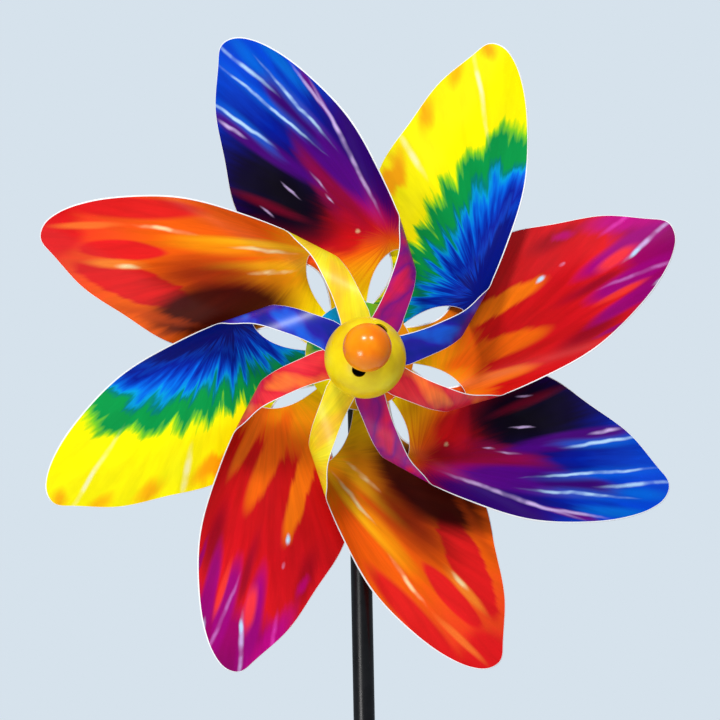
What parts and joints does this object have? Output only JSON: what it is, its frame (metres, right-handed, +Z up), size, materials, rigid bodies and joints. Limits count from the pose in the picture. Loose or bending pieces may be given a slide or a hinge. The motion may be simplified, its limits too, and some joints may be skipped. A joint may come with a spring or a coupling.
{
  "type": "kinetic wind sculpture",
  "caption": "Garden pinwheel: printed glossy sheet petals curl forward to a ball-covered hub and spin on an axle at the top of a black pole with a ground spike",
  "frame": {"origin": "on the pole's axis at ground level, where the spike leaves the plug's underside", "axes": "+Z up along the pole, the wheel faces -Y and spins about Y, +X to the right seen from the front"},
  "size_m": [0.4683, 0.1883, 1.0349],
  "materials": {
    "sheet_warm_green": "glossy printed sheet, yellow-green-blue petal and red-magenta petal, white cut edges",
    "sheet_blue_red": "glossy printed sheet, blue-purple petal and red-orange petal, white cut edges",
    "hub_plastic": "moulded black plastic",
    "bush_plastic": "natural acetal",
    "ball_yellow": "yellow, satin, slightly mottled",
    "nose_orange": "orange, glossy",
    "fixings": "zinc-plated steel",
    "pole_plastic": "moulded black plastic",
    "pole_black": "gloss black coated steel tube",
    "spike_steel": "plain steel rod"
  },
  "bodies": {
    "wheel": {"blade_front": "sheet_warm_green", "blade_second": "sheet_blue_red", "blade_third": "sheet_blue_red", "blade_rear": "sheet_warm_green", "hub_tube": "hub_plastic", "rear_flange": "hub_plastic", "front_flange": "hub_plastic", "rear_bush": "bush_plastic", "front_bush": "bush_plastic", "hub_ball": "ball_yellow", "nose_ball": "nose_orange", "nose_clip": "fixings"},
    "stand": {"axle": "fixings", "rear_washer": "fixings", "front_washer": "fixings", "lock_nut": "fixings", "standoff_sleeve": "pole_plastic", "axle_cap_nut": "fixings", "pole_head": "pole_plastic", "head_screw": "fixings", "upper_pole": "pole_black", "pole_ferrule": "pole_plastic", "ferrule_screws": "fixings", "lower_pole": "pole_black", "spike_plug": "pole_plastic", "ground_spike": "spike_steel"}
  },
  "joints": [
    {"name": "wheel_spin", "type": "hinge", "parent": "stand", "child": "wheel", "pos_m": [0, -0.0593, 0.64], "axis": [0, 1, 0], "continuous": true}
  ]
}
